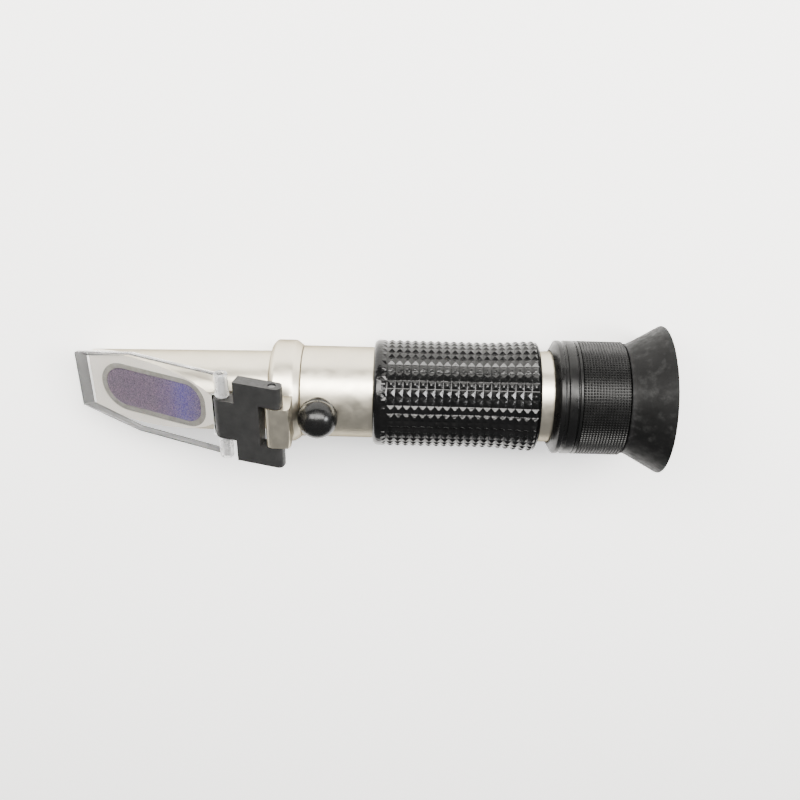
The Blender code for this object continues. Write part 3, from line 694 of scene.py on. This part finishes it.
def undercut(plate, tip):
    """Slants the tip and the long sides of a plate inwards towards its underside."""
    shape = bmesh.new()
    shape.from_mesh(plate.data)
    every = shape.verts[:] + shape.edges[:] + shape.faces[:]
    level = (0.0, 0.0, SLANT_LEVEL * MM)
    bmesh.ops.bisect_plane(shape, geom=every, plane_co=level, plane_no=(0.0, 0.0, 1.0))
    for corner in shape.verts:
        if corner.co.z > 0.5 * SLANT_LEVEL * MM:
            continue
        if corner.co.x < (tip + 0.1) * MM:
            corner.co.x += TIP_SLANT * MM
        if abs(corner.co.y) > PLATE_TONGUE_HALF * MM + 0.1 * MM:
            corner.co.y -= math.copysign(SIDE_SLANT * MM, corner.co.y)
    shape.to_mesh(plate.data)
    shape.free()


def make_daylight_plate():
    floor, top = PLATE_LEVELS
    lean = (top - floor) * math.tan(SLOPE)
    tip, bend = along_slope(PLATE_TIP) + lean, along_slope(PLATE_BEND) + lean
    pin = (FRONT_PIN[0] - SLOPE_STATION) * math.cos(SLOPE)
    pin += (FRONT_PIN[1] - SLOPE_HEIGHT) * math.sin(SLOPE)
    side, tongue = PLATE_HALF, PLATE_TONGUE_HALF
    outline = [(pin, side), (bend, side), (tip, PLATE_TIP_HALF), (tip, -PLATE_TIP_HALF)]
    outline += [(bend, -side), (pin, -side), (pin, -tongue), (pin - 2.6, -tongue)]
    outline += [(pin - 2.6, tongue), (pin, tongue)]
    plate = slab("clear_plate", outline, floor, top)
    undercut(plate, tip)
    lay_on_slope(plate)
    soften(plate, 0.35, 3)
    for side in (1.0, -1.0):
        barrel = cross_pin("barrel", FRONT_PIN, BARREL_R, BARREL_HALF, side * BARREL_Y, 0.3)
        combine(plate, barrel, "UNION")
    combine(plate, cross_pin("hole", FRONT_PIN, PIN_HOLE_R, THROUGH))
    shade(plate)
    stand_for(plate, "daylight_plate")
    # The slanted edge faces take the dark grey of painted shade.
    plate.data.materials.append(FROSTED_EDGE_WITH_PAINTED_SHADE)
    plate.data.materials.append(HAZY_ACRYLIC)
    pin = Vector((FRONT_PIN[0], 0.0, AXIS + FRONT_PIN[1])) * MM
    for face in plate.data.polygons:
        away = face.center - pin
        away.y = 0.0
        # Edge faces that lean away from the slope get the painted-shade grey.
        sawn_and_shaded = -0.97 < face.normal.dot(SLOPE_NORMAL) < -0.2 and face.normal.y < 0.5
        face.material_index = 2 if away.length < BARREL_REACH * MM else int(sawn_and_shaded)


# ---------------------------------------------------------------- tube, grip and port


def make_body_tube():
    front, end = low("body_tube", 0), high("body_tube", 0)
    outline = [(end, TUBE_R), (front - 0.2, TUBE_R), (front - 0.2, 11.0), (end, 11.0)]
    tube = lathe("tube", rounded(outline, 0.15))
    combine(tube, lathe("port", [(9.0, 0.0), (9.0, 3.3), (15.0, 3.3), (15.0, 0.0)], 48, True))
    shade(tube)
    stand_for(tube, "body_tube")


GRIP_ROWS = 40
GRIP_COLUMNS = 19
GRIP_PITCH = 2.07
GRIP_KNURL_START = 5.6
GRIP_DEPTH = 0.42
GRIP_EDGE = 1.5
GRIP_FRONT_R = 14.35
GRIP_WAIST_R = 14.25
VALLEY = 0.03  # half the width of a knurl's valley, and 0.5 less CREST is half its crest
CREST = 0.42
KNURL_STEPS = (-VALLEY, VALLEY, CREST, 1.0 - CREST)


def ridge(t):
    """The height, from 0 to 1, of one knurl tooth across its pitch."""
    off = abs((t + 0.5) % 1.0 - 0.5)
    return min(1.0, max(0.0, (off - VALLEY) / (CREST - VALLEY)))


def grip_radius(station):
    """The grip's outline: slightly waisted, with a soft bulge at the eyepiece end and rounded ends."""
    front, end = low("rubber_grip", 0), high("rubber_grip", 0)
    end_r = radius("rubber_grip")
    t = (station - front) / (end - front)
    bulge = max(0.0, (t - 0.68) / 0.32)
    size = GRIP_FRONT_R + (GRIP_WAIST_R - GRIP_FRONT_R) * min(1.0, t / 0.6)
    size += (end_r - GRIP_WAIST_R) * bulge * bulge * (3 - 2 * bulge)
    inset = max(0.0, GRIP_EDGE - (station - front), GRIP_EDGE - (end - station))
    return size - (GRIP_EDGE - math.sqrt(max(0.0, GRIP_EDGE**2 - inset**2)))


def make_rubber_grip():
    front, end = low("rubber_grip", 0), high("rubber_grip", 0)
    bore = TUBE_R + 0.03
    columns = [GRIP_KNURL_START + GRIP_PITCH * (c + t) for c in range(GRIP_COLUMNS) for t in KNURL_STEPS]
    edge = [GRIP_EDGE * (1 - math.cos(math.pi / 2 * k / 8)) for k in range(9)]
    stations = [front + e for e in edge] + [front + 2.2, front + 3.2] + columns
    stations += [GRIP_KNURL_START + GRIP_PITCH * (GRIP_COLUMNS - VALLEY)]
    stations += [end - 0.5 * e for e in reversed(edge[:-1])]
    outline = [(s, max(bore + 0.2, grip_radius(s))) for s in reversed(stations)]

    def relief(station, turn):
        along = (station - GRIP_KNURL_START) / GRIP_PITCH
        if not -0.5 < along < GRIP_COLUMNS:
            return 0.0
        return GRIP_DEPTH * (1.0 - min(ridge(along), ridge(turn * GRIP_ROWS)))

    turns = [(row + t) / GRIP_ROWS for row in range(GRIP_ROWS) for t in KNURL_STEPS]
    grip = knurled("grip", outline, [(front, bore), (end, bore)], turns, relief)
    stand_for(grip, "rubber_grip")


def knurled(name, outline, inside, turns, relief):
    """A closed turned shape with knurling cut into its outside. relief(station, turn) is the depth."""
    shape = bmesh.new()
    rings = []
    depths = []
    for along, out in outline:
        depth = [relief(along, turn) for turn in turns]
        points = [on_axis(along, out - d, turn, False) for d, turn in zip(depth, turns)]
        rings.append([shape.verts.new(point) for point in points])
        depths.append(depth)
    for along, out in inside:
        rings.append([shape.verts.new(on_axis(along, out, turn, False)) for turn in turns])
        depths.append([0.0] * len(turns))
    for i, first in enumerate(rings):
        j = (i + 1) % len(rings)
        for k in range(len(turns)):
            after = (k + 1) % len(turns)
            corners = (first[k], first[after], rings[j][after], rings[j][k])
            levels = (depths[i][k], depths[i][after], depths[j][after], depths[j][k])
            knurl_faces(shape, corners, levels)
    return new_object(name, finished_mesh(name, shape, 15.0))


def knurl_faces(shape, corners, levels):
    """One cell of the surface, folded along the diagonal that follows the knurl's ridge."""
    a, b, c, d = corners
    first, second = abs(levels[0] - levels[2]), abs(levels[1] - levels[3])
    if max(first, second) < 1e-6:
        shape.faces.new(corners)
    elif first > second:
        shape.faces.new((a, b, c))
        shape.faces.new((a, c, d))
    else:
        shape.faces.new((a, b, d))
        shape.faces.new((b, c, d))


SLEEVE_COLUMNS = 16
SLEEVE_ROWS = 128
SLEEVE_DEPTH = 0.26
SLEEVE_GROOVE = 0.25  # the width of a groove, as a share of the pitch
SLEEVE_STEPS = (0.12, 0.38, 0.62, 0.88)
SLEEVE_BORE_R = 14.25


def make_focus_sleeve():
    front, end = low("focus_sleeve", 0), high("focus_sleeve", 0)
    size = radius("focus_sleeve")
    pitch = (end - front) / SLEEVE_COLUMNS
    stations = [front + pitch * (c + t) for c in range(SLEEVE_COLUMNS) for t in SLEEVE_STEPS]

    def relief(station, turn):
        along = ((station - front) / pitch + SLEEVE_STEPS[0]) % 1.0
        around = (turn * SLEEVE_ROWS + SLEEVE_STEPS[0]) % 1.0
        return SLEEVE_DEPTH * (along < SLEEVE_GROOVE or around < SLEEVE_GROOVE)

    turns = [(row + t) / SLEEVE_ROWS for row in range(SLEEVE_ROWS) for t in SLEEVE_STEPS]
    ends = size - SLEEVE_DEPTH
    outline = [(end, ends)] + [(s, size) for s in reversed(stations)] + [(front, ends)]
    bore = [(front, SLEEVE_BORE_R), (end, SLEEVE_BORE_R)]
    sleeve = knurled("sleeve", outline, bore, turns, relief)
    stand_for(sleeve, "focus_sleeve", SLEEVE_RUBBER)


def make_calibration_cap():
    size = radius("calibration_cap")
    centre = high("calibration_cap", 2) - AXIS - size
    dome = arc((0.0, 0.0), size, 90.0, -10.0, 24)
    dome = [(centre + y, max(0.0, x)) for x, y in dome]
    dome[0] = (dome[0][0], 0.0)
    skirt = rounded([(12.9, 4.9), (12.62, 4.75), (12.4, 5.0), (10.6, 5.0), (10.6, 3.4)], 0.12)
    socket = [(14.2, 3.4), (14.2, 0.0)]
    cap = lathe("cap", dome[:-1] + skirt + socket, SMALL_SEGMENTS, True)
    saddle = lathe("saddle", [(-30.0, 0.0), (-30.0, TUBE_R + 0.05), (10.0, TUBE_R + 0.05), (10.0, 0.0)])
    combine(cap, saddle)
    soften(cap, 0.12, 2, 50.0)
    stand_for(cap, "calibration_cap", CAP_RUBBER)


# ---------------------------------------------------------------- eyepiece


def make_focus_ring():
    front, end = low("focus_ring", 0), high("focus_ring", 0)
    size = radius("focus_ring")
    seat, band = size - 1.1, size - 0.45
    shoulder = low("focus_sleeve", 0) - 0.1
    sleeve_end = high("focus_sleeve", 0) + 0.1
    outline = [(end, 13.0), (sleeve_end, 13.0), (sleeve_end, seat), (shoulder, seat), (shoulder, size)]
    outline += [(shoulder - 0.7, size), (shoulder - 0.85, band), (shoulder - 1.1, band)]
    outline += [(shoulder - 1.25, size), (front + 3.6, size), (front + 3.4, band)]
    outline += [(front + 2.7, band), (front + 2.5, size), (front + 1.4, size)]
    outline += [(front, 12.9), (front, 12.5), (58.0, 12.5), (58.0, 11.0), (67.2, 11.0)]
    outline += [(67.2, 8.4), (end, 8.4)]
    ring = lathe("ring", rounded(outline, 0.18, 3))
    stand_for(ring, "focus_ring", RING_PLASTIC)


def make_eyecup():
    front, rim = low("eyecup", 0), high("eyecup", 0)
    size = radius("eyecup")
    neck = front + 0.6
    outline = [(rim, size - 0.9), (rim, size), (neck + 1.6, 15.3), (neck + 0.3, 14.75)]
    outline += [(front, 14.9), (front, 13.05), (70.5, 13.05), (rim - 0.8, 18.1)]
    cup = lathe("cup", rounded(outline, 0.5, 5))
    stand_for(cup, "eyecup", EYECUP_RUBBER)


def lens_outline(node, bulge):
    """A lens with both faces bulging by a depth."""
    front, end = low(node, 0) + bulge, high(node, 0) - bulge
    size, steps = radius(node), 12
    face = [(bulge * (1 - (i / steps) ** 2), size * i / steps) for i in range(steps + 1)]
    back = [(end + out, r) for out, r in face]
    return back + [(front - out, r) for out, r in reversed(face)]


def make_lenses():
    for node, bulge in (("eye_lens", 0.6), ("field_lens", 0.5), ("objective_lens", 0.6)):
        stand_for(lathe(node + "_glass", lens_outline(node, bulge), 96), node)
    for node, inner in (("eye_lens_ring", 7.4), ("lens_spacer", 7.6)):
        front, end, size = low(node, 0), high(node, 0), radius(node)
        outline = rounded([(end, size), (front, size), (front, inner), (end, inner)], 0.2)
        stand_for(lathe(node + "_turned", outline, 96), node)


def finish_carried_nodes():
    """The CAD nodes that still show take their procedural finish."""
    for name, obj in frame["nodes"].items():
        if not obj.hide_render:
            obj.data.materials.clear()
            obj.data.materials.append(FINISHES[NODE_SLOT[name]])


# ---------------------------------------------------------------- studio


def make_floor():
    """A pale floor that the eyecup's rim and the collar both touch."""
    rim = Vector((high("eyecup", 0) * MM, 0.0, 0.0))
    collar = Vector(((COLLAR_LAND[0] + 0.5) * MM, 0.0, (AXIS - radius("hinge_collar")) * MM))
    fall = math.atan2(collar.z - rim.z, rim.x - collar.x)
    bpy.ops.mesh.primitive_plane_add(size=4.0)
    floor = bpy.context.object
    floor.name = "studio_floor"
    floor.matrix_world = Matrix.Translation(rim) @ Matrix.Rotation(fall, 4, "Y")
    paper = Finish("studio_paper", (0.90, 0.89, 0.87), 0.9)
    paper.set("Emission Color", (1.0, 1.0, 1.0, 1.0))
    paper.set("Emission Strength", 0.85)
    floor.data.materials.append(paper.material)


def add_light(name, direction, distance, size, power, colour=(1.0, 1.0, 1.0)):
    """A soft box that looks at the middle of the instrument."""
    light = bpy.data.lights.new(name, "AREA")
    light.shape = "RECTANGLE"
    light.size, light.size_y = size
    light.energy = power
    light.color = colour
    obj = bpy.data.objects.new(name, light)
    bpy.context.scene.collection.objects.link(obj)
    target = Vector((0.0, 0.0, AXIS * MM))
    obj.location = target + Vector(direction).normalized() * distance
    obj.rotation_euler = (target - obj.location).to_track_quat("-Z", "Y").to_euler()


def make_studio():
    world = bpy.data.worlds.new("studio")
    world.use_nodes = True
    world.node_tree.nodes["Background"].inputs["Color"].default_value = (0.97, 0.98, 1.0, 1.0)
    world.node_tree.nodes["Background"].inputs["Strength"].default_value = 0.34
    bpy.context.scene.world = world
    add_light("key_softbox", (0.0, 0.71, 0.71), 0.7, (1.2, 0.30), 31.0, (1.0, 0.98, 0.94))
    add_light("end_softbox", (0.81, 0.31, 0.50), 0.6, (0.16, 0.16), 4.0)


CAMERA_TILT = math.radians(32.0)  # from straight above, towards +Y
CAMERA_ROLL = math.radians(1.45)
CAMERA_DISTANCE = 0.255
CAMERA_LENS = 42.3
CAMERA_AIM = Vector((9.05, -1.65, 21.03)) * MM


def make_camera():
    side, rise = math.sin(CAMERA_TILT), math.cos(CAMERA_TILT)
    lean, level = math.sin(CAMERA_ROLL), math.cos(CAMERA_ROLL)
    right = Vector((level, lean * rise, -lean * side))
    up = Vector((-lean, level * rise, -level * side))
    back = Vector((0.0, side, rise))
    camera = bpy.data.cameras.new("camera")
    camera.sensor_width = 36.0
    camera.lens = CAMERA_LENS
    camera.clip_start = 0.01
    obj = bpy.data.objects.new("camera", camera)
    bpy.context.scene.collection.objects.link(obj)
    turn = Matrix((right, up, back)).transposed().to_4x4()
    obj.matrix_world = Matrix.Translation(CAMERA_AIM + back * CAMERA_DISTANCE) @ turn
    bpy.context.scene.camera = obj


make_prism_housing()
make_prism_and_seal()
make_hinge_collar()
make_cover_link()
make_daylight_plate()
make_body_tube()
make_rubber_grip()
make_calibration_cap()
make_focus_ring()
make_focus_sleeve()
make_eyecup()
make_lenses()
finish_carried_nodes()
make_floor()
make_studio()
make_camera()
